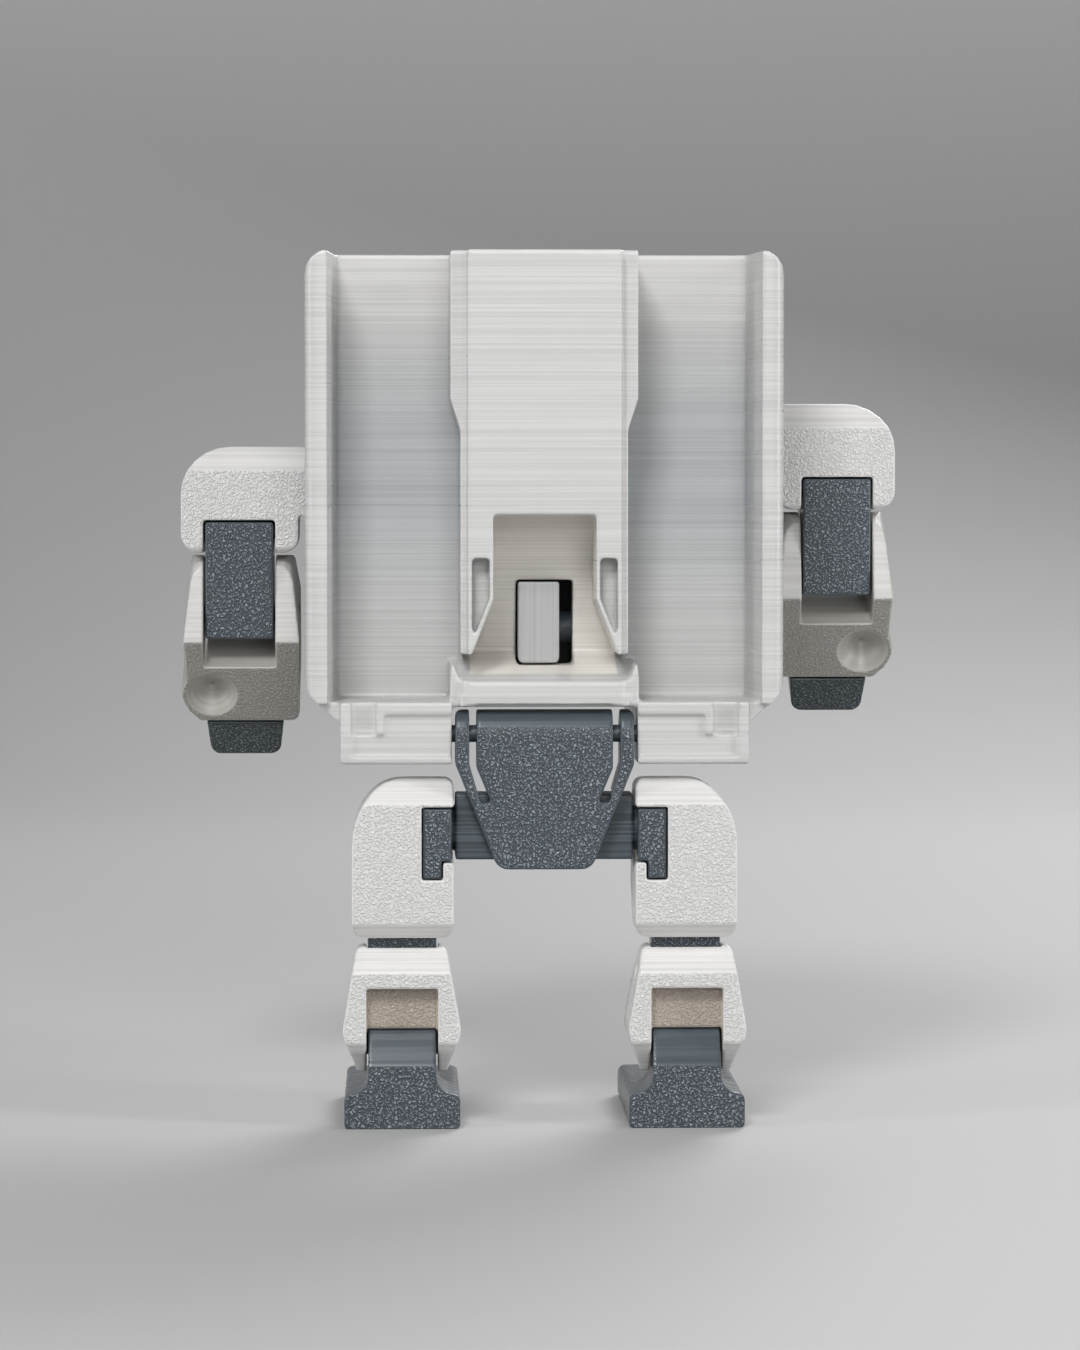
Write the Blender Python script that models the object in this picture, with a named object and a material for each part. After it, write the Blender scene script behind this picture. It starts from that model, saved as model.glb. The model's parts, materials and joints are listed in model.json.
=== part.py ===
"""Posable box-bodied robot figure, a printed kit: its frame, its pieces and its joint axes.

The robot faces +Y, its right hand is at +X and +Z is up. The origin is on the floor, under the
middle of the object's box. Outlines are written in millimetres, and every mesh is made in metres.
"""

import math

import bmesh
import bpy
from mathutils import Matrix, Vector

MM = 0.001
GAP = 0.3  # running clearance between two pieces
SIDES = {"left": -1, "right": 1}

# Torso
BACK, FRONT = -20.0, 20.0
TORSO_HALF = 28.8
TORSO_TOP, TORSO_FLOOR = 105.8, 51.3
SPINE_HALF, FLANGE_HALF = 9.3, 10.1
CHANNEL_FLOOR, CHANNEL_HALF, RIM_INNER = -6.5, 25.1, 26.15
CAVITY_BACK, CAVITY_HALF = -4.5, 26.3
CAVITY_LOW, CAVITY_HIGH = 54.0, 103.3
COVER_BACK, VISOR_BACK, VENT_BACK = 17.3, 13.5, 18.5
NOTCH_TOP, NOTCH_KNEE, NOTCH_END = 74.0, 63.8, 57.2
NOTCH_HALF, FIN = 6.2, 0.45
LATCH_PIN, LATCH_PIN_R, LATCH_TRAVEL = (-2.6, 60.0), 1.9, 1.5
BLOCK_IN, BLOCK_OUT, BLOCK_LOW, BLOCK_TOP = 11.2, 24.6, 44.0, 51.5

# Waist and hips: each axis runs along X, through these (y, z)
WAIST = (-17.0, 47.6)
HIP = (-14.5, 36.0)
PELVIS_HALF, PELVIS_LOW, WAIST_BARREL = 10.7, 31.4, 2.9
FINGER_IN, FINGER_GAP = 9.15, 1.0
BAR_LOW, BAR_HIGH, BAR_BACK, BAR_FRONT = 32.4, 40.2, -17.4, -11.6
JOURNAL = 2.6

# Legs, on a line 17.2 from the middle
LEG_X = 17.2
LEG_FRONT = -8.0
KNEE_UP, KNEE_LOW = (-14.4, 26.2), (-14.4, 18.5)
ANKLE = (-14.0, 9.4)
KNEE_R, ANKLE_R = 2.4, 4.3
LINK_HALF = 4.1
THIGH_TOP, THIGH_LOW = 42.2, 23.0
SHOULDER_X, SHOULDER_Z = 6.2, 8.2  # how far the thigh's upper outer curve reaches each way
SHIN_TOP, SHIN_LOW = 21.8, 6.6
FOOT_TOE, FOOT_HALF, SOLE = 9.0, 7.0, 4.2

# Arms, in a frame whose origin is the shoulder peg
HUB_Y, HUB_Z, HUB_R = 6.45, 80.7, 7.5
CRANK, CRANK_ANGLE = 4.0, math.radians(42.5)
PEG_R = 2.2
ARM_IN, ARM_OUT = 30.1, 44.8
ARM_LINK_IN, ARM_LINK_OUT = 33.3, 41.7
ELBOW_UP, ELBOW_LOW = (-0.8, -6.2), (-0.8, -16.7)
ELBOW_R = 2.6
ARM_BACK, ARM_FRONT = -6.0, 6.0
ELBOW_BEND = math.radians(33.0)
HAND_X, HAND_Y = 37.0, -1.0

PIN_R = 1.0

COLOURS = {
    "white": ((0.62, 0.62, 0.60, 1.0), 0.35),
    "grey": ((0.065, 0.085, 0.105, 1.0), 0.5),
    "dark": ((0.02, 0.025, 0.03, 1.0), 0.3),
    "lens": ((0.75, 0.80, 0.80, 1.0), 0.15),
}


# ---------------------------------------------------------------- outlines


def rounded(corners, steps=5):
    """The outline through corners (a, b) or (a, b, radius), each radius turned into an arc."""
    outline = []
    count = len(corners)
    for i, corner in enumerate(corners):
        here = Vector(corner[:2])
        radius = corner[2] if len(corner) > 2 else 0
        if not radius:
            outline.append(tuple(here))
            continue
        before = (Vector(corners[i - 1][:2]) - here).normalized()
        after = (Vector(corners[(i + 1) % count][:2]) - here).normalized()
        half = before.angle(after) / 2
        middle = here + (before + after).normalized() * radius / math.sin(half)
        start = here + before * radius / math.tan(half) - middle
        end = here + after * radius / math.tan(half) - middle
        turn = start.angle_signed(end)
        for k in range(steps + 1):
            arm = Matrix.Rotation(-turn * k / steps, 2) @ start
            outline.append(tuple(middle + arm))
    return outline


def arc(centre, radius, first, last, steps=8):
    """Points on a circle, from one angle in degrees to another."""
    angles = [math.radians(first + (last - first) * k / steps) for k in range(steps + 1)]
    return [(centre[0] + radius * math.cos(a), centre[1] + radius * math.sin(a)) for a in angles]


# ---------------------------------------------------------------- solids


def prism(outline, axis, low, high, top=None):
    """A closed prism: the outline pushed along an axis. top is the outline at its far end."""
    order = {"X": (2, 0, 1), "Y": (0, 2, 1), "Z": (0, 1, 2)}[axis]
    shape = bmesh.new()
    ends = []
    for level, points in ((low, outline), (high, top or outline)):
        ring = []
        for point in points:
            values = (point[0], point[1], level)
            ring.append(shape.verts.new([values[i] * MM for i in order]))
        ends.append(ring)
    shape.faces.new(ends[0])
    shape.faces.new(ends[1])
    count = len(outline)
    for i in range(count):
        j = (i + 1) % count
        shape.faces.new((ends[0][i], ends[0][j], ends[1][j], ends[1][i]))
    bmesh.ops.recalc_face_normals(shape, faces=shape.faces)
    mesh = bpy.data.meshes.new("solid")
    shape.to_mesh(mesh)
    shape.free()
    piece = bpy.data.objects.new("solid", mesh)
    bpy.context.scene.collection.objects.link(piece)
    return piece


def box(low, high):
    corners = [(low[0], low[1]), (high[0], low[1]), (high[0], high[1]), (low[0], high[1])]
    return prism(corners, "Z", low[2], high[2])


def rod(axis, centre, radius, low, high, steps=24, far_radius=None):
    """A cylinder, or a cone if far_radius is given, along an axis."""
    near = arc(centre, radius, 0, 360 - 360 / steps, steps - 1)
    far = arc(centre, far_radius, 0, 360 - 360 / steps, steps - 1) if far_radius else None
    return prism(near, axis, low, high, far)


def combine(piece, others, operation):
    """Joins, cuts or intersects piece with others, and takes the others away."""
    for other in others:
        boolean = piece.modifiers.new(operation, "BOOLEAN")
        boolean.operation = operation
        boolean.object = other
        graph = bpy.context.evaluated_depsgraph_get()
        result = bpy.data.meshes.new_from_object(piece.evaluated_get(graph))
        piece.modifiers.clear()
        piece.data = result
        bpy.data.objects.remove(other)
    return piece


def cut(piece, *others):
    return combine(piece, others, "DIFFERENCE")


def fuse(piece, *others):
    return combine(piece, others, "UNION")


def common(piece, *others):
    return combine(piece, others, "INTERSECT")


def mirrored(outline, side):
    return [(side * point[0],) + tuple(point[1:]) for point in outline]


def span(side, near, far):
    """The ends of a stretch along X, on the given side of the middle."""
    return tuple(sorted((side * near, side * far)))


def material(name):
    made = bpy.data.materials.get(name)
    if made:
        return made
    colour, roughness = COLOURS[name]
    made = bpy.data.materials.new(name)
    made.use_nodes = True
    shader = made.node_tree.nodes["Principled BSDF"]
    shader.inputs["Base Color"].default_value = colour
    shader.inputs["Roughness"].default_value = roughness
    shader.inputs["Metallic"].default_value = 0.0
    return made


def finish(piece, name, colour, frame):
    """Names a piece, gives it its material, and hangs it on its body's frame."""
    piece.name = name
    piece.data.name = name
    piece.data.materials.clear()
    piece.data.materials.append(material(colour))
    piece.data.shade_smooth()
    piece.data.set_sharp_from_angle(angle=math.radians(30))
    piece.data.transform(Matrix.Translation(-frame["origin"]))
    piece.parent = frame["empty"]
    return piece


def body_frame(name, axis_x, axis_y, axis_z, parent=None):
    """An empty on a body's joint axis, which its pieces hang on."""
    empty = bpy.data.objects.new(name + "_frame", None)
    bpy.context.scene.collection.objects.link(empty)
    origin = Vector((axis_x, axis_y, axis_z)) * MM
    empty.location = origin
    if parent:
        empty.parent = parent["empty"]
        empty.location = origin - parent["origin"]
    return {"empty": empty, "origin": origin}


# ---------------------------------------------------------------- torso


def torso_shell():
    half = [
        (SPINE_HALF, BACK),
        (SPINE_HALF, BACK + 2),
        (FLANGE_HALF, BACK + 2),
        (FLANGE_HALF, CHANNEL_FLOOR),
        (CHANNEL_HALF, CHANNEL_FLOOR),
        (RIM_INNER, BACK),
        (TORSO_HALF, BACK, 1.4),
        (TORSO_HALF, FRONT, 2.5),
    ]
    plan = rounded(half + mirrored(half, -1)[::-1], 3)
    shell = prism(plan, "Z", TORSO_FLOOR, TORSO_TOP)
    flank = [(27.4, TORSO_FLOOR), (28.3, 52.3), (TORSO_HALF, 53.6), (TORSO_HALF, TORSO_TOP, 3.0)]
    silhouette = rounded(flank + mirrored(flank, -1)[::-1], 4)
    common(shell, prism(silhouette, "Y", BACK - 1, FRONT + 1))
    for side in SIDES.values():
        wide = [(9.8, TORSO_TOP), (11.3, TORSO_TOP), (11.3, 87.9), (9.8, 83.2)]
        fuse(shell, prism(mirrored(wide, side), "Y", BACK + 2, CHANNEL_FLOOR + 0.5))
        fuse(shell, lower_block(side))
    # the hinge beam under the spine
    beam = [(-19.0, 50.9), (-19.0, 54.2), (-12.0, 56.0), (CAVITY_BACK, 56.0), (CAVITY_BACK, 50.9)]
    fuse(shell, prism(beam, "X", -11.4, 11.4))
    # the room inside, and the hollow of the spine above the notch
    cut(shell, box((-CAVITY_HALF, CAVITY_BACK, CAVITY_LOW), (CAVITY_HALF, FRONT + 1, CAVITY_HIGH)))
    cut(shell, box((-7.3, BACK + 2, 76.0), (7.3, CAVITY_BACK + 0.5, CAVITY_HIGH)))
    cut(shell, notch(), sill())
    for side in SIDES.values():
        # the pocket outside each fin, the gusset and brace under the torso, and the hinge beam's ridge
        fin = NOTCH_HALF + FIN
        pocket = [(fin, 68.8), (8.75, 68.8), (8.75, NOTCH_KNEE - 5.0), (fin, NOTCH_KNEE + 0.1)]
        cut(shell, prism(mirrored(pocket, side), "Y", BACK - 1, BACK + 2.6))
        gusset = [(10.2, 54.0), (11.35, 54.0), (11.2, 56.5)]
        fuse(shell, prism(mirrored(gusset, side), "Y", -19.0, -12.0))
        brace = [(24.3, 51.5), (27.6, 51.5), (24.3, 48.6)]
        fuse(shell, prism(mirrored(brace, side), "Y", BACK + 1.2, 11.0))
        ridge = span(side, 8.9, 9.9)
        fuse(shell, box((ridge[0], -19.6, 50.95), (ridge[1], -18.8, 54.1)))
        root = span(side, 8.3, 10.3)
        fuse(shell, box((root[0], -19.7, 50.95), (root[1], -18.8, 52.2)))
        # the shoulder's stepped hole, and the boss that holds the latch pin
        cut(shell, rod("X", (HUB_Y, HUB_Z), HUB_R + GAP, *span(side, 27.2, 30), steps=32))
        cut(shell, rod("X", (HUB_Y, HUB_Z), HUB_R - 1.2, *span(side, 25, 28), steps=32))
        fuse(shell, box((side * 5.3 - 1, CAVITY_BACK - 0.5, 56.4), (side * 5.3 + 1, 0.8, 64.5)))
    cut(shell, box((-3.2, BACK + 2, 55.6), (3.8, CAVITY_BACK + 0.5, 66.0)))
    cut(shell, rod("X", LATCH_PIN, LATCH_PIN_R + GAP, -6.5, 6.5))
    cut(shell, rod("X", WAIST, PIN_R + GAP, -14.3, 14.3, 12))
    return shell


def lower_block(side):
    """One of the two blocks under the torso, with a ledge, a hook rib and a pocket at its rear."""
    profile = rounded([(BACK, BLOCK_LOW, 0.6), (12.0, BLOCK_LOW, 3.0), (12.0, 52.5), (BACK, 52.5)])
    block = prism(profile, "X", *span(side, BLOCK_IN, BLOCK_OUT))
    cut(block, box((side * 17.9 - 6.8, BACK - 1, BLOCK_TOP), (side * 17.9 + 6.8, -6.4, 53)))
    pocket = span(side, 20.3, 23.3)
    cut(block, box((pocket[0], BACK - 1, 47.6), (pocket[1], BACK + 1.2, BLOCK_TOP + 1)))
    panel = [(10.5, 44.9), (10.5, 50.0), (19.4, 50.0), (19.4, 47.6), (23.3, 47.6), (23.3, 44.9)]
    cut(block, prism(mirrored(panel, side), "Y", BACK - 1, BACK + 0.5))
    return block


def notch():
    """The tapered recess in the spine, which holds the release latch."""
    outline = [(NOTCH_HALF, NOTCH_TOP), (NOTCH_HALF, NOTCH_KNEE), (8.8, NOTCH_END), (8.8, 52.0)]
    recess = prism(outline + mirrored(outline, -1)[::-1], "Y", BACK - 1, CAVITY_BACK)
    depth = [(BACK - 1, NOTCH_TOP + 1), (-11.2, NOTCH_TOP + 1), (-6.6, NOTCH_END), (BACK - 1, 53.7)]
    return common(recess, prism(depth, "X", -12, 12))


def sill():
    """The slope that ends the spine, above the hinge beam."""
    slope = [(BACK - 1, NOTCH_END), (-6.6, NOTCH_END), (-19.0, 54.2), (BACK - 1, 53.7)]
    return prism(slope, "X", -11.4, 11.4)


def front_cover():
    """The torso's front: a window for the visor, and a blind recess for the vent."""
    frame = rounded([(-25.9, 54.4, 2), (25.9, 54.4, 2), (25.9, 102.9, 2), (-25.9, 102.9, 2)], 3)
    cover = prism(frame, "Y", COVER_BACK, FRONT)
    window = rounded([(-18, 78, 3), (18, 78, 3), (18, 95, 3), (-18, 95, 3)], 3)
    vent = rounded([(-9.5, 60, 1), (9.5, 60, 1), (9.5, 69, 1), (-9.5, 69, 1)], 2)
    return cut(cover, prism(window, "Y", 10, 25), prism(vent, "Y", VENT_BACK - GAP, 25))


def visor_panel():
    edge = rounded([(-17.7, 78.3, 2.7), (17.7, 78.3, 2.7), (17.7, 94.7, 2.7), (-17.7, 94.7, 2.7)], 3)
    panel = prism(edge, "Y", VISOR_BACK, 18.8)
    return cut(panel, *[rod("Y", (side * 9.0, 86.5), 4.3, 10, 25) for side in SIDES.values()])


def eye_lens(side):
    centre = (side * 9.0, 86.5)
    lens = rod("Y", centre, 4.0, VISOR_BACK + 0.4, 18.6)
    return fuse(lens, rod("Y", centre, 4.0, 18.5, 19.5, far_radius=2.6))


def chest_vent():
    edge = rounded([(-9.2, 60.3, 0.8), (9.2, 60.3, 0.8), (9.2, 68.7, 0.8), (-9.2, 68.7, 0.8)], 2)
    vent = prism(edge, "Y", VENT_BACK, 19.4)
    return cut(vent, *[box((-7.4, 10, z), (7.4, 25, z + 1.0)) for z in (61.8, 64.0, 66.2)])


def release_latch():
    """The press-in latch: it slides along Y, and its slot runs over the latch pin."""
    face = rounded([(-2.9, 65.7, 0.15), (2.0, 65.7, 0.15), (2.0, 55.9, 0.6), (-2.9, 55.9, 0.6)], 3)
    latch = prism(face, "Y", -10.4, 1.0)
    room = LATCH_PIN_R + GAP
    back, front = LATCH_PIN[0] - room - LATCH_TRAVEL, LATCH_PIN[0] + room
    low, high = LATCH_PIN[1] - room, LATCH_PIN[1] + room
    run = rounded([(back, low, 2.1), (front, low, 2.1), (front, high, 2.1), (back, high, 2.1)], 5)
    return cut(latch, prism(run, "X", -4, 4))


# ---------------------------------------------------------------- waist and hips


def pelvis():
    half = [
        (PELVIS_HALF, WAIST[1] + WAIST_BARREL, 0.8),
        (PELVIS_HALF, 44.0),
        (5.6, PELVIS_LOW, 1.8),
    ]
    outline = rounded(half + mirrored(half, -1)[::-1], 4)
    profile = [(BACK, PELVIS_LOW)] + arc(WAIST, WAIST_BARREL, 180, 0, 10)
    profile += [(WAIST[0] + WAIST_BARREL, 40.6), (BAR_BACK - GAP, 40.6), (BAR_BACK - GAP, PELVIS_LOW)]
    plate = common(prism(outline, "Y", -21, -13), prism(profile, "X", -12, 12))
    for side in SIDES.values():
        slot = [(FINGER_IN - FINGER_GAP, 52.0), (FINGER_IN, 52.0), (FINGER_IN, 44.0), (7.8, 39.4)]
        slot += [(6.4, 39.4), (FINGER_IN - FINGER_GAP, 43.6)]
        cut(plate, prism(mirrored(slot, side), "Y", -21, -13))
    return cut(plate, rod("X", WAIST, PIN_R + GAP, -12, 12, 12))


def hip_crossbar():
    bar = box((-PELVIS_HALF, BAR_BACK, BAR_LOW), (PELVIS_HALF, BAR_FRONT, BAR_HIGH))
    return fuse(bar, *[rod("X", HIP, JOURNAL, *span(s, 9.0, 14.3)) for s in SIDES.values()])


def hip_head_shape(side, grow):
    """The bearing block in the thigh, or the room it needs there when grow is its clearance."""
    near, far = 11.3 - 3 * grow, 14.6 + grow
    head = rod("X", HIP, 4.4 + grow, *span(side, near, far))
    back = BACK + 0.3 - 5 * grow
    low, high = span(side, near, far)
    fuse(head, box((low, back, BAR_LOW - grow), (high, HIP[0], 38.6 + grow)))
    low, high = span(side, 12.5 - grow, far)
    return fuse(head, box((low, back, 30.3 - grow), (high, HIP[0], 36.0)))


def hip_head(side):
    return cut(hip_head_shape(side, 0), rod("X", HIP, JOURNAL + GAP, *span(side, 10, 15)))


# ---------------------------------------------------------------- legs


def thigh(side):
    inner, outer = 11.0, 23.2
    front = [(inner, THIGH_LOW, 1.5), (outer, THIGH_LOW, 1.5)]
    for across, up in arc((0, 0), 1.0, 0, 90, 9):
        front.append((outer - SHOULDER_X * (1 - across), THIGH_TOP - SHOULDER_Z * (1 - up)))
    front.append((inner, THIGH_TOP, 1.2))
    profile = [(BACK, 24.8), (BACK, 39.2), (BACK + 3, THIGH_TOP)]
    profile += arc(HIP, 6.2, 88, 0, 6)
    profile += [(LEG_FRONT, HIP[1]), (LEG_FRONT, 28.6), (LEG_FRONT - 5.6, THIGH_LOW), (-18.2, THIGH_LOW)]
    piece = prism(rounded(mirrored(front, side), 4), "Y", -21, -7)
    common(piece, prism(profile, "X", *span(side, 5, 30)))
    cut(piece, hip_head_shape(side, GAP))
    low, high = span(side, LEG_X - LINK_HALF - GAP, LEG_X + LINK_HALF + GAP)
    room = KNEE_R + GAP
    cut(piece, box((low, KNEE_UP[0] - room, 20), (high, 0, KNEE_UP[1] + room)))
    return cut(piece, rod("X", KNEE_UP, PIN_R + GAP, *span(side, 5, 30), steps=12))


def link_outline(upper, lower, radius):
    return arc(upper, radius, 0, 180) + arc(lower, radius, 180, 360)


def knee_link(side):
    span_x = span(side, LEG_X - LINK_HALF, LEG_X + LINK_HALF)
    link = prism(link_outline(KNEE_UP, KNEE_LOW, KNEE_R), "X", *span_x)
    for axis in (KNEE_UP, KNEE_LOW):
        cut(link, rod("X", axis, PIN_R + GAP, *span(side, 5, 30), steps=12))
    return link


def shin(side):
    front = [
        (11.9, SHIN_TOP, 1.0),
        (22.7, SHIN_TOP, 1.0),
        (24.4, 11.6, 3.0),
        (22.6, SHIN_LOW),
        (11.8, SHIN_LOW),
        (10.1, 11.6, 3.0),
    ]
    profile = [
        (BACK, 10.4),
        (BACK, SHIN_TOP - 3),
        (BACK + 3, SHIN_TOP),
        (LEG_FRONT - 5.2, SHIN_TOP),
        (LEG_FRONT, SHIN_TOP - 5),
        (LEG_FRONT, SHIN_LOW + 2.5),
        (LEG_FRONT - 2.5, SHIN_LOW),
        (BACK + 3.8, SHIN_LOW),
    ]
    piece = prism(rounded(mirrored(front, side), 3), "Y", -21, -7)
    common(piece, prism(profile, "X", *span(side, 5, 30)))
    low, high = span(side, LEG_X - LINK_HALF - GAP, LEG_X + LINK_HALF + GAP)
    room = KNEE_R + GAP
    cut(piece, box((low, KNEE_LOW[0] - room, KNEE_LOW[1] - room), (high, 0, 25)))
    low, high = span(side, LEG_X - 4.4, LEG_X + 4.4)
    cut(piece, rod("X", ANKLE, ANKLE_R + GAP, low, high))
    cut(piece, box((low, -21, 0), (high, 0, ANKLE[1])), box((low, -21, 0), (high, -18.0, 17.0)))
    cut(piece, rod("X", KNEE_LOW, PIN_R + GAP, *span(side, 5, 30), steps=12))
    return cut(piece, rod("X", ANKLE, PIN_R + GAP, *span(side, 5, 30), steps=12))


def foot(side):
    right = [(FOOT_HALF, 0, 0.5), (FOOT_HALF, SOLE, 0.8), (6.3, SOLE)]
    right += arc((6.3, SOLE + 2.2), 2.2, -90, -180, 4)[1:]
    right += [(LINK_HALF, 14.0)]
    outline = right + [(-a, *more) for a, *more in right[::-1]]
    shifted = [(side * LEG_X + a, *more) for a, *more in outline]
    profile = [(BACK, 0), (BACK, 7.6)] + arc(ANKLE, ANKLE_R, 155, 0, 9)
    profile += [(-9.2, SOLE), (FOOT_TOE - 2.5, SOLE), (FOOT_TOE, 2.6), (FOOT_TOE, 0)]
    piece = prism(rounded(shifted, 3), "Y", -21, 10)
    common(piece, prism(profile, "X", *span(side, 5, 30)))
    return cut(piece, rod("X", ANKLE, PIN_R + GAP, *span(side, 5, 30), steps=12))


# ---------------------------------------------------------------- arms


def shoulder_hub(side):
    """The crank disc in the torso's side, whose off-centre peg carries the arm."""
    hub = rod("X", (HUB_Y, HUB_Z), HUB_R, *span(side, 27.5, TORSO_HALF), steps=32)
    fuse(hub, rod("X", (HUB_Y, HUB_Z), HUB_R - 1.5, *span(side, 25.9, 27.6), steps=32))
    fuse(hub, rod("X", (HUB_Y, HUB_Z), 3.0, *span(side, 23.4, 26.0)))
    peg = peg_centre(side)
    return fuse(hub, rod("X", peg, PEG_R, *span(side, 28.7, 41.5)))


def hub_retainer(side):
    disc = rod("X", (HUB_Y, HUB_Z), HUB_R + 1.1, *span(side, 23.6, 25.6), steps=32)
    return cut(disc, rod("X", (HUB_Y, HUB_Z), 3.0 + GAP, *span(side, 20, 27)))


def peg_centre(side):
    angle = side * CRANK_ANGLE
    return (HUB_Y + CRANK * math.cos(angle), HUB_Z + CRANK * math.sin(angle))


def placed(point, peg):
    return (point[0] + peg[0], point[1] + peg[1], *point[2:])


def shoulder_block(side, peg):
    low, high = -8.9, 4.4
    front = [
        (ARM_IN, low, 2.0),
        (ARM_OUT, low, 2.4),
        (ARM_OUT, high, 6.0),
        (TORSO_HALF + GAP, high, 0.5),
        (TORSO_HALF + GAP, low + 4.6),
        (ARM_IN, low + 4.6),
    ]
    front = [(side * p[0], p[1] + peg[1], *p[2:]) for p in front]
    profile = [
        (ARM_BACK, low + 0.6),
        (ARM_BACK, high - 3.0),
        (ARM_BACK + 3.0, high),
        (ARM_FRONT - 3.0, high),
        (ARM_FRONT, high - 3.0),
        (ARM_FRONT, low + 4.9),
        (ARM_FRONT - 5.6, low),
        (ARM_BACK + 0.6, low),
    ]
    piece = prism(rounded(front, 6), "Y", -10, 25)
    common(piece, prism([placed(p, peg) for p in profile], "X", *span(side, 20, 50)))
    cut(piece, rod("X", peg, PEG_R + GAP, *span(side, 20, 42.2)))
    room = span(side, ARM_LINK_IN - GAP, ARM_LINK_OUT + GAP)
    axis = placed(ELBOW_UP, peg)
    cut(piece, rod("X", axis, ELBOW_R + GAP, *room))
    opening = [(-7.0, -4.8), (ELBOW_UP[0], -4.8), (1.4, -3.9), (7.0, -9.5), (-7.0, -9.5)]
    cut(piece, prism([placed(p, peg) for p in opening], "X", *room))
    return cut(piece, rod("X", axis, PIN_R + GAP, *span(side, 20, 50), steps=12))


def elbow_link(side, peg):
    """The bar between the two elbow pins, squared off at the rear and round at the front."""
    profile = [(ARM_BACK, -5.1), (-3.0, -5.1)]
    profile += arc(ELBOW_UP, ELBOW_R, 120, 0, 5) + arc(ELBOW_LOW, ELBOW_R, 0, -90, 5)
    profile += [(-2.0, -19.6), (ARM_BACK, -19.6)]
    shape = [placed(p, peg) for p in profile]
    link = prism(shape, "X", *span(side, ARM_LINK_IN, ARM_LINK_OUT))
    for axis in (ELBOW_UP, ELBOW_LOW):
        cut(link, rod("X", placed(axis, peg), PIN_R + GAP, *span(side, 20, 50), steps=12))
    return link


def forearm(side, elbow):
    """The forearm before it is bent, around its elbow axis."""
    back, front, low = -7.0, 5.5, -11.9
    outline = [
        (30.1, low, 1.5),
        (42.4, low),
        (44.2, low + 2.0),
        (44.5, 0.6),
        (43.4, 7.6, 2.0),
        (31.0, 7.6, 2.0),
        (30.0, 0.6),
    ]
    outline = rounded([(side * p[0], p[1] + elbow[1], *p[2:]) for p in outline], 3)
    profile = [(back, low + 0.5), (back, 0.6)] + arc((0, 0), 7.5, 92, 42, 6)
    profile += [(front, low + 1.0), (front - 1.0, low), (back + 0.5, low)]
    piece = prism(outline, "Y", -10, 30)
    common(piece, prism([placed(p, elbow) for p in profile], "X", *span(side, 20, 50)))
    boss_centre = (side * 41.1, elbow[1] - 7.5)
    fuse(piece, rod("Y", boss_centre, 3.8, elbow[0] + back, elbow[0] + 4.0))
    cut(piece, rod("Y", boss_centre, 3.9, elbow[0] + back - 0.6, elbow[0] + back + 2.6, far_radius=0.3))
    room = span(side, ARM_LINK_IN - GAP, ARM_LINK_OUT + GAP)
    cut(piece, box((room[0], -10, elbow[1] - 3.3), (room[1], 30, elbow[1] + 12)))
    cut(piece, rod("X", elbow, PIN_R + GAP, *span(side, 20, 50), steps=12))
    stem = (side * HAND_X, elbow[0] + HAND_Y)
    return cut(piece, rod("Z", stem, 2.2 + GAP, elbow[1] - 14, elbow[1] - 6.2))


def hand(side, elbow):
    middle = side * HAND_X
    high, low = elbow[1] - 12.2, elbow[1] - 17.1
    outline = [(-4.8, high), (4.8, high), (4.3, low, 1.3), (-4.3, low, 1.3)]
    outline = rounded([(middle + p[0], *p[1:]) for p in outline], 4)
    piece = prism(outline, "Y", elbow[0] - 6.5, elbow[0] + 2.4)
    return fuse(piece, rod("Z", (middle, elbow[0] + HAND_Y), 2.2, high - 1, elbow[1] - 6.6))


def pin(side, axis, near, far, radius=PIN_R):
    return rod("X", axis, radius, *span(side, near, far), steps=12)


# ---------------------------------------------------------------- the whole figure


def build_torso():
    root = body_frame("torso", 0, 0, 0)
    finish(torso_shell(), "torso_shell", "white", root)
    finish(front_cover(), "front_cover", "white", root)
    finish(visor_panel(), "visor_panel", "dark", root)
    finish(chest_vent(), "chest_vent", "grey", root)
    finish(rod("X", LATCH_PIN, LATCH_PIN_R, -6.0, 6.0), "latch_pin", "grey", root)
    finish(rod("X", WAIST, PIN_R, -14.0, 14.0, 12), "waist_pin", "grey", root)
    for name, side in SIDES.items():
        finish(eye_lens(side), name + "_eye_lens", "lens", root)
    latch = body_frame("latch", 0, *LATCH_PIN, root)
    finish(release_latch(), "release_latch", "white", latch)
    return root


def build_arm(root, name, side):
    peg = peg_centre(side)
    elbow = placed(ELBOW_LOW, peg)
    upper = placed(ELBOW_UP, peg)
    hub = body_frame(name + "_hub", side * TORSO_HALF, HUB_Y, HUB_Z, root)
    finish(shoulder_hub(side), name + "_shoulder_hub", "grey", hub)
    finish(hub_retainer(side), name + "_hub_retainer", "grey", hub)
    shoulder = body_frame(name + "_shoulder", side * ARM_IN, *peg, hub)
    finish(shoulder_block(side, peg), name + "_shoulder_block", "white", shoulder)
    finish(pin(side, upper, 30.6, 44.2), name + "_elbow_upper_pin", "grey", shoulder)
    link = body_frame(name + "_elbow_link", side * HAND_X, *upper, shoulder)
    finish(elbow_link(side, peg), name + "_elbow_link", "grey", link)
    arm = body_frame(name + "_forearm", side * HAND_X, *elbow, link)
    finish(forearm(side, elbow), name + "_forearm", "white", arm)
    finish(pin(side, elbow, 30.9, 43.9), name + "_elbow_lower_pin", "grey", arm)
    wrist = body_frame(name + "_hand", side * HAND_X, elbow[0] + HAND_Y, elbow[1] - 12, arm)
    finish(hand(side, elbow), name + "_hand", "grey", wrist)
    arm["empty"].rotation_euler.x = ELBOW_BEND


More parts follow.
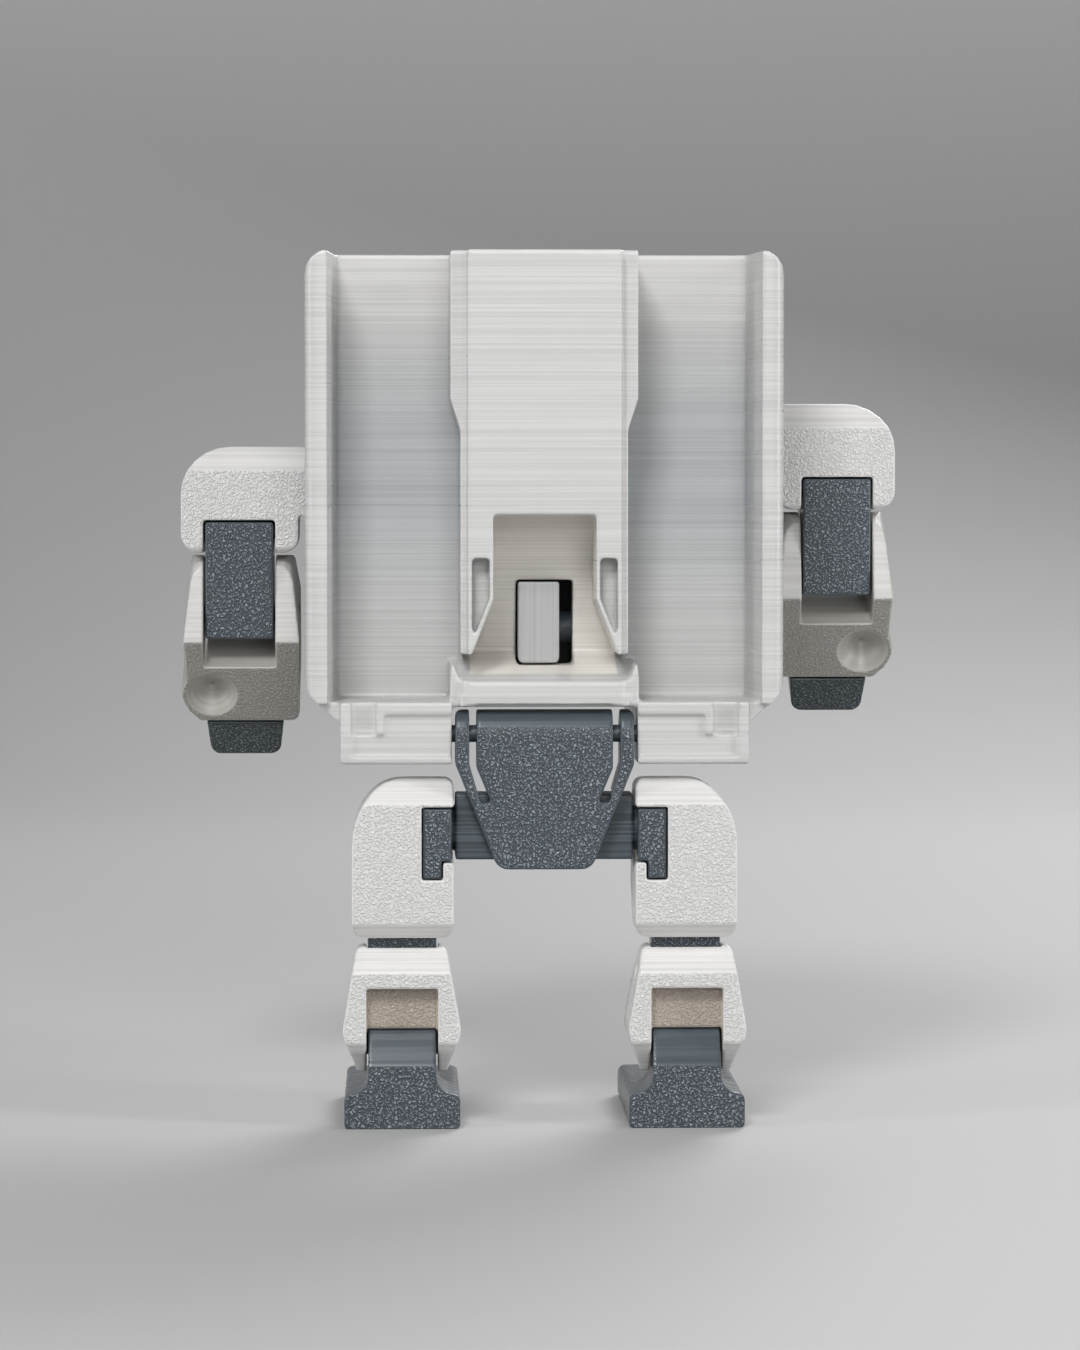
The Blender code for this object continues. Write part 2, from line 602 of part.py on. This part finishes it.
def build_leg(hips, name, side):
    upper_leg = body_frame(name + "_thigh", side * LEG_X, *HIP, hips)
    finish(thigh(side), name + "_thigh", "white", upper_leg)
    finish(hip_head(side), name + "_hip_head", "grey", upper_leg)
    finish(pin(side, KNEE_UP, 11.5, 22.7), name + "_knee_upper_pin", "grey", upper_leg)
    link = body_frame(name + "_knee_link", side * LEG_X, *KNEE_UP, upper_leg)
    finish(knee_link(side), name + "_knee_link", "grey", link)
    lower_leg = body_frame(name + "_shin", side * LEG_X, *KNEE_LOW, link)
    finish(shin(side), name + "_shin", "white", lower_leg)
    finish(pin(side, KNEE_LOW, 11.8, 22.6), name + "_knee_lower_pin", "grey", lower_leg)
    finish(pin(side, ANKLE, 11.3, 23.1), name + "_ankle_pin", "grey", lower_leg)
    ankle = body_frame(name + "_foot", side * LEG_X, *ANKLE, lower_leg)
    finish(foot(side), name + "_foot", "grey", ankle)


def build():
    for old in list(bpy.data.objects):
        bpy.data.objects.remove(old)
    root = build_torso()
    for name, side in SIDES.items():
        build_arm(root, name, side)
    hips = body_frame("pelvis", 0, *WAIST, root)
    finish(pelvis(), "pelvis", "grey", hips)
    finish(hip_crossbar(), "hip_crossbar", "grey", hips)
    for name, side in SIDES.items():
        build_leg(hips, name, side)


build()
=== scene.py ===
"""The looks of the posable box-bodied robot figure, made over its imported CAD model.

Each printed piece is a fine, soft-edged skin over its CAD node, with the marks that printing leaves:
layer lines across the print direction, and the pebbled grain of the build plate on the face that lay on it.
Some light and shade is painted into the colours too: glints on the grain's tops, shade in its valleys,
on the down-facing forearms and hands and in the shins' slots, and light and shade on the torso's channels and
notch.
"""

import json
import math

import bpy
from mathutils import Matrix, Vector


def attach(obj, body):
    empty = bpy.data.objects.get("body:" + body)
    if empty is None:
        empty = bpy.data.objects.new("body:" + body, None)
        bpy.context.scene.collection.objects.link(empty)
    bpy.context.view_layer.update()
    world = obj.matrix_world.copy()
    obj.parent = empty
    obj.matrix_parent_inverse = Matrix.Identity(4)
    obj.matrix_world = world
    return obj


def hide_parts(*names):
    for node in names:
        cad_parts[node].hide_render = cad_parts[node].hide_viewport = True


MM = 0.001
ELBOW_BEND = math.radians(33.0)

# The camera stands behind the robot, left of its middle and level with its shoulders
CAMERA_AT = (-0.0174, -0.540, 0.0776)
CAMERA_AIM = (-0.0006, -0.020, 0.0548)
CAMERA_LENS = 115.6
CAMERA_SENSOR = 36.0

# The soft edge of each printed piece: voxel in mm, smoothing passes, and the share of faces kept
LARGE = (0.24, 3, 0.16)
LIMB = (0.18, 3, 0.22)
SMALL = (0.14, 2, 0.35)

# How far, in mm, a skin's faces move out again after smoothing. Nodes whose names end as below don't grow:
# their skins would reach under the floor, past the torso's box or into each other
GROW = 0.06
NOT_GROWN = ("foot", "shell", "forearm", "shoulder_block")

WHITE = (0.535, 0.535, 0.527)
LIMB_WHITE = (0.67, 0.662, 0.650)
# Painted shade: the forearms face down, so their white is painted darker than the limbs' white
FOREARM_SHADED_WHITE = (0.52, 0.512, 0.495)
LATCH_WHITE = (0.44, 0.445, 0.45)
GREY = (0.056, 0.072, 0.087)
# Painted shade: the hands face down and back, so their grey is painted darker than the other greys
HAND_SHADED_GREY = (0.036, 0.050, 0.057)
DARK = (0.018, 0.022, 0.028)
LENS = (0.72, 0.78, 0.78)
FLOOR_GREY = (0.44, 0.44, 0.44)
WORLD_GREY = (0.86, 0.87, 0.88)

# Layer lines, in features per metre along the layers and across them, and the fine lines' share of them
FINE_LAYERS = (14, 4200)
BROAD_LAYERS = (10, 900)
FINE_SHARE = 0.75

# Blotches in the plastic, in features per metre, and how much of the deeper colour they bring
BLOTCHES = (260, 260, 260)
BLOTCH_SHARE = 0.16

# What the pale lines have over the colour, besides their contrast, so that dark plastics show them too
PALE_LIFT = 0.004

# How far the roughness is from its mean, at the lowest and at the highest of the layers and of the grain
LAYER_ROUGHNESS = (-0.07, 0.09)
GRAIN_ROUGHNESS = (0.1, -0.06)

# The spans of the noises, and of the grain's height, over which each mark goes from none to full
LINES_SPAN = (0.36, 0.64)
NOISE_SPAN = (0.3, 0.7)
PEAK_SPAN = (0.30, 0.95)
POLISH_SPAN = (0.1, 0.9)

# The cosine to the bed's normal at which the grain starts, and at which it is full
BED_FACING = (0.93, 0.985)

# The grain: cells per metre, how far they melt together, the distances from a cell's middle at which its
# height is none and full, and the noise, in features per metre, that nudges it by up to half of WANDER metres
GRAIN_CELLS = 3000.0
GRAIN_SOFTNESS = 0.45
GRAIN_SPAN = (0.60, 0.02)
WANDER_SCALE = 2700.0
WANDER = 0.00045

# Painted light and shade on the torso's channels, darker and bluer where the inside is deep and paler at the
# top, at shares of the height, in metres, from the sill to the top
CHANNEL_HEIGHT = (0.051, 0.106)
CHANNEL_PAINTED_LIGHT = (
    (0.0, (1.0, 1.0, 1.0)),
    (0.22, (0.99, 0.995, 1.0)),
    (0.45, (0.80, 0.835, 0.87)),
    (0.62, (0.80, 0.83, 0.86)),
    (0.83, (0.97, 0.975, 0.975)),
    (0.86, (1.09, 1.08, 1.065)),
    (1.0, (1.11, 1.10, 1.085)),
)

# Where each tint lies, in metres. An edge is the place where its fade starts and the place where it is full
CHANNEL_FLOOR = ((-0.0105, -0.0075), (-0.0052, -0.0062))

# The notch in the spine, whose shaded inside is painted paler and warmer, as painted light
NOTCH_BACK = (-0.0172, -0.0160)
NOTCH_SIDE = (0.0090, 0.0088)
NOTCH_HEIGHT = ((0.0535, 0.0545), (0.0745, 0.0740))
NOTCH_PAINTED_LIGHT = (1.42, 1.37, 1.30)

# The shins' slots, at either side of each leg's middle, and the painted shade in them
LEG_ASIDE = 0.0172
SLOT_SIDE = (0.0048, 0.0042)
SLOT_TOP = (0.0176, 0.0170)
SLOT_DEPTH = ((-0.0192, -0.0182), (-0.0088, -0.0096))
SLOT_SHADE = (0.66, 0.58, 0.50)

# The forearms' lower halves, painted in shade, and how far each arm is above or below the two arms' mean
ARM_RISE = 0.00227
FOREARM_STEP = (0.0498, 0.0490)
FOREARM_PAINTED_SHADE = (0.72, 0.705, 0.67)

# What the lamps shine on
ROBOT_MIDDLE = (0.0, 0.0, 0.06)

# The material, fineness and tilt of each kind of node, and those of every other node: the pins
FINISHES = {
    "torso_shell": ("torso", LARGE, 0.0),
    "front_cover": ("cover", LARGE, 0.0),
    "visor_panel": ("visor", LIMB, 0.0),
    "chest_vent": ("vent", SMALL, 0.0),
    "eye_lens": ("lens", SMALL, 0.0),
    "release_latch": ("latch", SMALL, 0.0),
    "pelvis": ("grey", LIMB, 0.0),
    "hip_crossbar": ("grey_bar", LIMB, 0.0),
    "shoulder_hub": ("grey_pin", LIMB, 0.0),
    "hub_retainer": ("grey_pin", LIMB, 0.0),
    "hip_head": ("grey", SMALL, 0.0),
    "shoulder_block": ("limb", LIMB, 0.0),
    "forearm": ("forearm", LIMB, ELBOW_BEND),
    "thigh": ("limb", LIMB, 0.0),
    "shin": ("limb", LIMB, 0.0),
    "elbow_link": ("grey", LIMB, 0.0),
    "knee_link": ("grey", LIMB, 0.0),
    "foot": ("grey", LIMB, 0.0),
    "hand": ("hand", LIMB, ELBOW_BEND),
}
PIN_FINISH = ("grey_pin", SMALL, 0.0)


# ---------------------------------------------------------------- shader pieces


def add(tree, kind, inputs=None, **settings):
    """A shader node with its settings, and with its inputs linked to sockets or set to values."""
    node = tree.nodes.new("ShaderNode" + kind)
    for key, value in settings.items():
        setattr(node, key, value)
    for key, value in (inputs or {}).items():
        fill(tree, node.inputs[key], value)
    return node


def fill(tree, socket, value):
    """A link from the value, where it is a socket, or else the value itself."""
    if isinstance(value, bpy.types.NodeSocket):
        tree.links.new(value, socket)
    else:
        socket.default_value = value


def math_node(tree, operation, first, second=0.0):
    return add(tree, "Math", {0: first, 1: second}, operation=operation).outputs[0]


def product(tree, first, second):
    return math_node(tree, "MULTIPLY", first, second)


def remap(tree, value, low, high, to_low=0.0, to_high=1.0):
    inputs = {"Value": value, "From Min": low, "From Max": high, "To Min": to_low, "To Max": to_high}
    return add(tree, "MapRange", inputs, interpolation_type="SMOOTHSTEP").outputs[0]


def band(tree, value, edges):
    """1 between two edges and 0 outside them."""
    return product(tree, remap(tree, value, *edges[0]), remap(tree, value, *edges[1]))


def stretched_noise(tree, coord, scale, detail):
    """Noise with its own scale along each axis, in features per metre."""
    placed = add(tree, "Mapping", {"Vector": coord, "Scale": scale}).outputs[0]
    inputs = {"Vector": placed, "Scale": 1.0, "Detail": detail, "Roughness": 0.55}
    return add(tree, "TexNoise", inputs).outputs["Fac"]


def mix_colour(tree, factor, first, second, blend="MIX"):
    node = add(tree, "Mix", {0: factor}, data_type="RGBA", blend_type=blend)
    for index, value in ((6, first), (7, second)):
        fill(tree, node.inputs[index], (*value, 1.0) if isinstance(value, tuple) else value)
    return node.outputs[2]


def mix_value(tree, factor, first, second):
    return add(tree, "Mix", {0: factor, 2: first, 3: second}, data_type="FLOAT").outputs[0]


def layer_scale(axis, along, across):
    return tuple(across if name == axis else along for name in "XYZ")


def printed(
    name,
    colour,
    axis,
    bed=None,
    *,
    roughness,
    depth,
    grain_depth=0.05,
    grain_shade_and_glint=(0.94, 1.04),
    contrast=0.075,
    zone=None,
):
    """A printed plastic: layer lines across axis, and grain on the face that lay on the bed.

    bed is the sign and axis of that face's normal, such as -Y, and fleck how dark its grain's valleys are, as
    painted shade, and how pale its tops are, as painted glints. contrast is how much paler and darker than
    the colour the layer lines are.
    depth and grain_depth are the heights of the lines and of the grain, in mm. zone paints light and shade
    onto the plastic by place.
    """
    material = bpy.data.materials.new(name)
    material.use_nodes = True
    tree = material.node_tree
    shader = tree.nodes["Principled BSDF"]
    coords = add(tree, "TexCoord")
    place = coords.outputs["Object"]
    fine = stretched_noise(tree, place, layer_scale(axis, *FINE_LAYERS), 1.0)
    broad = stretched_noise(tree, place, layer_scale(axis, *BROAD_LAYERS), 3.0)
    blotch = stretched_noise(tree, place, BLOTCHES, 2.0)
    lines = math_node(tree, "ADD", product(tree, fine, FINE_SHARE), product(tree, broad, 1 - FINE_SHARE))
    pale = tuple(min(1.0, c * (1 + contrast) + PALE_LIFT) for c in colour)
    deep = tuple(c * (1 - contrast) for c in colour)
    tint = mix_colour(tree, remap(tree, lines, *LINES_SPAN), deep, pale)
    tint = mix_colour(tree, remap(tree, blotch, *NOISE_SPAN, 0.0, BLOTCH_SHARE), tint, deep)
    rough = remap(tree, broad, *NOISE_SPAN, *(roughness + change for change in LAYER_ROUGHNESS))
    height = product(tree, lines, depth)
    if bed:
        sign = -1.0 if bed[0] == "-" else 1.0
        facing = add(tree, "SeparateXYZ", {0: coords.outputs["Normal"]}).outputs[bed[1]]
        mask = remap(tree, product(tree, facing, sign), *BED_FACING)
        grain = grain_pattern(tree, place)
        # Painted shade in the grain's valleys and painted glints on its tops, over its pebble relief
        grained = mix_colour(tree, remap(tree, grain, *PEAK_SPAN), *painted_grain_colours(colour, grain_shade_and_glint))
        tint = mix_colour(tree, mask, tint, grained)
        height = mix_value(tree, mask, height, product(tree, grain, grain_depth))
        polish = remap(tree, grain, *POLISH_SPAN, *(roughness + change for change in GRAIN_ROUGHNESS))
        rough = mix_value(tree, mask, rough, polish)
    if zone:
        tint = zone(tree, place, tint)
    bump = add(tree, "Bump", {"Height": height, "Distance": MM, "Strength": 1.0})
    tree.links.new(bump.outputs[0], shader.inputs["Normal"])
    tree.links.new(tint, shader.inputs["Base Color"])
    tree.links.new(rough, shader.inputs["Roughness"])
    return material


def painted_grain_colours(colour, grain_shade_and_glint):
    """The grain's valleys in the plastic's own colour scaled by the first factor, as painted shade, and its
    tops halfway from that to a neutral grey scaled by the second, as painted glints.
    """
    mean = sum(colour) / 3
    return tuple(c * grain_shade_and_glint[0] for c in colour), tuple((c + mean) / 2 * grain_shade_and_glint[1] for c in colour)


def grain_pattern(tree, place):
    """The pebbles of a textured build plate.

    The cells melt together into uneven bumps, most of them a little over half a millimetre apart.
    """
    parts = add(tree, "SeparateXYZ", {0: place}).outputs
    flat = add(tree, "CombineXYZ", {0: parts["X"], 1: parts["Z"]}).outputs[0]
    wander = add(tree, "TexNoise", {"Vector": flat, "Scale": WANDER_SCALE, "Detail": 0.0}).outputs["Color"]
    offset = add(tree, "VectorMath", {0: wander, 1: (0.5, 0.5, 0.5)}, operation="SUBTRACT").outputs[0]
    nudge = add(tree, "VectorMath", {0: offset, "Scale": WANDER}, operation="SCALE").outputs[0]
    bent = add(tree, "VectorMath", {0: flat, 1: nudge}, operation="ADD").outputs[0]
    inputs = {"Vector": bent, "Scale": GRAIN_CELLS, "Smoothness": GRAIN_SOFTNESS}
    cells = add(tree, "TexVoronoi", inputs, feature="SMOOTH_F1", voronoi_dimensions="2D")
    return remap(tree, cells.outputs["Distance"], *GRAIN_SPAN)


def painted_panel_light(tree, place, tint):
    """Painted light and shade for light in thin walls: the channels painted darker and bluer where the inside
    is deep and paler at their top, and the notch painted warm and pale.
    """
    parts = add(tree, "SeparateXYZ", {0: place}).outputs
    low, high = CHANNEL_HEIGHT
    share = add(tree, "MapRange", {"Value": parts["Z"], "From Min": low, "From Max": high}).outputs[0]
    ramp = add(tree, "ValToRGB", {0: share})
    stops = ramp.color_ramp.elements
    for index, (position, colour) in enumerate(CHANNEL_PAINTED_LIGHT):
        stop = stops[index] if index < 2 else stops.new(position)
        stop.position = position
        stop.color = (*colour, 1.0)
    # Painted shade and light on the channels, by height
    shaded = mix_colour(tree, 1.0, tint, ramp.outputs[0], "MULTIPLY")
    tint = mix_colour(tree, band(tree, parts["Y"], CHANNEL_FLOOR), tint, shaded)
    aside = math_node(tree, "ABSOLUTE", parts["X"])
    inside = product(tree, remap(tree, parts["Y"], *NOTCH_BACK), remap(tree, aside, *NOTCH_SIDE))
    level = band(tree, parts["Z"], NOTCH_HEIGHT)
    # Painted light: the notch's shaded inside made paler and warmer
    warm = mix_colour(tree, 1.0, tint, NOTCH_PAINTED_LIGHT, "MULTIPLY")
    return mix_colour(tree, product(tree, inside, level), tint, warm)


def painted_slot_shade(tree, place, tint):
    """Painted shade: the light caught in the shins' slots, above the feet, is painted warmer and dimmer."""
    parts = add(tree, "SeparateXYZ", {0: place}).outputs
    off_leg = math_node(tree, "SUBTRACT", math_node(tree, "ABSOLUTE", parts["X"]), LEG_ASIDE)
    within = remap(tree, math_node(tree, "ABSOLUTE", off_leg), *SLOT_SIDE)
    low = product(tree, within, remap(tree, parts["Z"], *SLOT_TOP))
    deep = band(tree, parts["Y"], SLOT_DEPTH)
    # Painted shade inside the slots
    warm = mix_colour(tree, 1.0, tint, SLOT_SHADE, "MULTIPLY")
    return mix_colour(tree, product(tree, low, deep), tint, warm)


def painted_forearm_shade(tree, place, tint):
    """Painted shade: the solid lower half of each forearm, which faces down, is painted dimmer and warmer
    than its open upper half.

    The heights are in the forearms' print frame. The right arm is higher than the arms' mean, the left lower.
    """
    parts = add(tree, "SeparateXYZ", {0: place}).outputs
    side = math_node(tree, "SIGN", parts["X"])
    height = math_node(tree, "SUBTRACT", parts["Z"], product(tree, side, ARM_RISE))
    # Painted shade on the forearms' lower halves
    shaded = mix_colour(tree, 1.0, tint, FOREARM_PAINTED_SHADE, "MULTIPLY")
    return mix_colour(tree, remap(tree, height, *FOREARM_STEP), tint, shaded)


def translucent(material, weight):
    """Light that soaks a little way into pale plastic, red the farthest."""
    shader = material.node_tree.nodes["Principled BSDF"]
    shader.inputs["Subsurface Weight"].default_value = weight
    shader.inputs["Subsurface Radius"].default_value = (1.0, 0.95, 0.85)
    shader.inputs["Subsurface Scale"].default_value = 1.2 * MM
    return material


def glossy(material, coat):
    """A clear, smooth coat over dark or pale plastic."""
    shader = material.node_tree.nodes["Principled BSDF"]
    shader.inputs["Coat Weight"].default_value = coat
    shader.inputs["Coat Roughness"].default_value = 0.15
    return material


def make_materials():
    torso = printed("torso_white", WHITE, "Z", roughness=0.34, depth=0.012, zone=painted_panel_light)
    cover = printed("cover_white", WHITE, "Y", "+Y", roughness=0.36, depth=0.02, grain_depth=0.03)
    limb_marks = {"roughness": 0.30, "depth": 0.012, "grain_depth": 0.12, "grain_shade_and_glint": (0.91, 1.09)}
    limb = printed("limb_white", LIMB_WHITE, "Y", "-Y", zone=painted_slot_shade, **limb_marks)
    # The forearms' darker grain is painted shade, as their bed face turns down
    forearm_marks = {"roughness": 0.36, "depth": 0.012, "grain_depth": 0.09, "grain_shade_and_glint": (0.70, 0.92)}
    forearm = printed("forearm_shaded_white", FOREARM_SHADED_WHITE, "Y", "-Y", zone=painted_forearm_shade, **forearm_marks)
    latch = printed("latch_white", LATCH_WHITE, "X", roughness=0.34, depth=0.02)
    # The greys' much paler grain tops are painted glints
    grey_marks = {"roughness": 0.26, "depth": 0.012, "grain_depth": 0.17, "grain_shade_and_glint": (0.78, 4.4)}
    hand_marks = {"roughness": 0.28, "depth": 0.012, "grain_depth": 0.2, "grain_shade_and_glint": (0.76, 3.4)}
    visor = printed("visor_dark", DARK, "Y", "+Y", roughness=0.2, depth=0.008, grain_depth=0.006)
    lens = printed("lens_pale", LENS, "Y", roughness=0.2, depth=0.006)
    return {
        "torso": translucent(torso, 0.3),
        "cover": translucent(cover, 0.15),
        "limb": translucent(limb, 0.15),
        "forearm": translucent(forearm, 0.15),
        "latch": translucent(latch, 0.15),
        "grey": printed("printed_grey", GREY, "Y", "-Y", **grey_marks),
        "hand": printed("hand_shaded_grey", HAND_SHADED_GREY, "Y", "-Y", **hand_marks),
        "grey_bar": printed("printed_grey_bar", GREY, "Z", roughness=0.42, depth=0.05, contrast=0.4),
        "grey_pin": printed("printed_grey_pin", GREY, "X", roughness=0.42, depth=0.02),
        "vent": printed("vent_grey", GREY, "Y", "+Y", roughness=0.42, depth=0.02, grain_depth=0.03),
        "visor": glossy(visor, 0.5),
        "lens": glossy(lens, 0.6),
    }


# ---------------------------------------------------------------- skins


def with_modifiers(mesh, *settings):
    """The mesh after a row of modifiers, each given as its type and its values."""
    holder = bpy.data.objects.new("holder", mesh)
    bpy.context.scene.collection.objects.link(holder)
    for kind, values in settings:
        modifier = holder.modifiers.new(kind, kind)
        for key, value in values.items():
            setattr(modifier, key, value)
    graph = bpy.context.evaluated_depsgraph_get()
    result = bpy.data.meshes.new_from_object(holder.evaluated_get(graph))
    bpy.data.objects.remove(holder)
    return result


def skin(node, body, material, fineness, tilt, grow):
    """A fine mesh over a CAD node, its edges softened as a print's are.

    tilt is its print frame's turn about X. grow, in mm, gives back what the smoothing takes off its faces.
    """
    voxel, passes, kept = fineness
    mesh = frame["nodes"][node].data.copy()
    mesh.transform(Matrix.Scale(1 / MM, 4))
    mesh = with_modifiers(
        mesh,
        ("WELD", {"merge_threshold": 0.001}),
        ("REMESH", {"mode": "VOXEL", "voxel_size": voxel, "adaptivity": 0.0, "use_smooth_shade": True}),
        ("SMOOTH", {"factor": 0.5, "iterations": passes}),
        ("DISPLACE", {"strength": grow, "mid_level": 0.0}),
        ("DECIMATE", {"ratio": kept}),
        ("WEIGHTED_NORMAL", {"mode": "FACE_AREA", "weight": 50}),
    )
    turn = Matrix.Rotation(tilt, 4, "X")
    mesh.transform(turn.inverted() @ Matrix.Scale(MM, 4))
    mesh.materials.clear()
    mesh.materials.append(material)
    piece = bpy.data.objects.new(node + "_skin", mesh)
    bpy.context.scene.collection.objects.link(piece)
    piece.matrix_world = turn
    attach(piece, body)
    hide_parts(node)


def finish_of(node):
    """The finish of a node's kind, which is its name without its side."""
    return FINISHES.get(node.removeprefix("left_").removeprefix("right_"), PIN_FINISH)


def make_skins(materials):
    record = frame["record"]
    for body, nodes in record["behaviour"]["bodies"].items():
        for node in nodes:
            finish, fineness, tilt = finish_of(node)
            grow = 0.0 if node.endswith(NOT_GROWN) else GROW
            skin(node, body, materials[finish], fineness, tilt, grow)


# ---------------------------------------------------------------- studio


def make_floor():
    """A plain pale floor that curves up into a wall beyond the robot, as the camera sees it."""
    half_width, near, bend, radius, top, steps = 2.5, -2.0, 0.5, 0.5, 3.0, 12
    outline = [(near, 0.0)]
    for k in range(steps + 1):
        angle = math.radians(90 * k / steps)
        outline.append((bend + radius * math.sin(angle), radius * (1 - math.cos(angle))))
    outline.append((bend + radius, top))
    points = [(x, y, z) for y, z in outline for x in (-half_width, half_width)]
    faces = [(i, i + 1, i + 3, i + 2) for i in range(0, len(points) - 2, 2)]
    mesh = bpy.data.meshes.new("floor")
    mesh.from_pydata(points, [], faces)
    mesh.shade_smooth()
    floor = bpy.data.objects.new("floor", mesh)
    bpy.context.scene.collection.objects.link(floor)
    mesh.materials.append(floor_material(radius))


def floor_material(full_height):
    """A matt grey that glows a little more with height, up to full_height, so that the wall stays pale."""
    material = bpy.data.materials.new("floor")
    material.use_nodes = True
    tree = material.node_tree
    shader = tree.nodes["Principled BSDF"]
    shader.inputs["Base Color"].default_value = (*FLOOR_GREY, 1.0)
    shader.inputs["Roughness"].default_value = 0.7
    parts = add(tree, "SeparateXYZ", {0: add(tree, "TexCoord").outputs["Object"]}).outputs
    glow = remap(tree, parts["Z"], 0.0, full_height, 0.0, 0.26)
    tree.links.new(glow, shader.inputs["Emission Strength"])
    shader.inputs["Emission Color"].default_value = (1.0, 1.0, 1.0, 1.0)
    return material


def aimed(place, aim):
    """The rotation of a lamp or camera that looks from place to aim."""
    return (Vector(aim) - Vector(place)).to_track_quat("-Z", "Y").to_euler()


def area_light(name, place, size, power):
    """A rectangular lamp that shines on the robot's middle. Its size is in metres, its power in watts."""
    data = bpy.data.lights.new(name, "AREA")
    data.shape = "RECTANGLE"
    data.size, data.size_y = size
    data.energy = power
    light = bpy.data.objects.new(name, data)
    bpy.context.scene.collection.objects.link(light)
    light.location = place
    light.rotation_euler = aimed(place, ROBOT_MIDDLE)


def make_lights():
    area_light("key", (-0.17, -0.60, 0.56), (0.20, 0.20), 3.6)
    area_light("left_strip", (-0.50, -0.22, 0.20), (0.08, 0.40), 0.9)
    area_light("right_strip", (0.50, -0.22, 0.20), (0.08, 0.40), 1.4)
    area_light("camera_fill", (0.16, -1.30, 0.45), (0.40, 0.40), 4.0)
    area_light("front_fill", (0.25, 0.55, 0.45), (0.30, 0.30), 3.0)
    world = bpy.data.worlds.new("studio")
    world.use_nodes = True
    background = world.node_tree.nodes["Background"]
    background.inputs["Color"].default_value = (*WORLD_GREY, 1.0)
    background.inputs["Strength"].default_value = 0.11
    bpy.context.scene.world = world
    bpy.context.scene.view_settings.view_transform = "Standard"


def make_camera():
    data = bpy.data.cameras.new("camera")
    data.lens = CAMERA_LENS
    data.sensor_width = CAMERA_SENSOR
    data.clip_start = 0.01
    camera = bpy.data.objects.new("camera", data)
    bpy.context.scene.collection.objects.link(camera)
    camera.location = CAMERA_AT
    camera.rotation_euler = aimed(CAMERA_AT, CAMERA_AIM)
    bpy.context.scene.camera = camera


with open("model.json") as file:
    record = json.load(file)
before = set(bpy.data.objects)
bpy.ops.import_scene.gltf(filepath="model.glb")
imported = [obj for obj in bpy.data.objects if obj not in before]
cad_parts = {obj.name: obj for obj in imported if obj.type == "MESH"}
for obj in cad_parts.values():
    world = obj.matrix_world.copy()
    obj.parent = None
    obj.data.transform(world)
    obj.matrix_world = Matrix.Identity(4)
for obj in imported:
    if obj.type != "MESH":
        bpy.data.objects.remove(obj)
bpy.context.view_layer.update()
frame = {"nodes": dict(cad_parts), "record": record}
make_camera()
make_lights()
make_floor()
make_skins(make_materials())
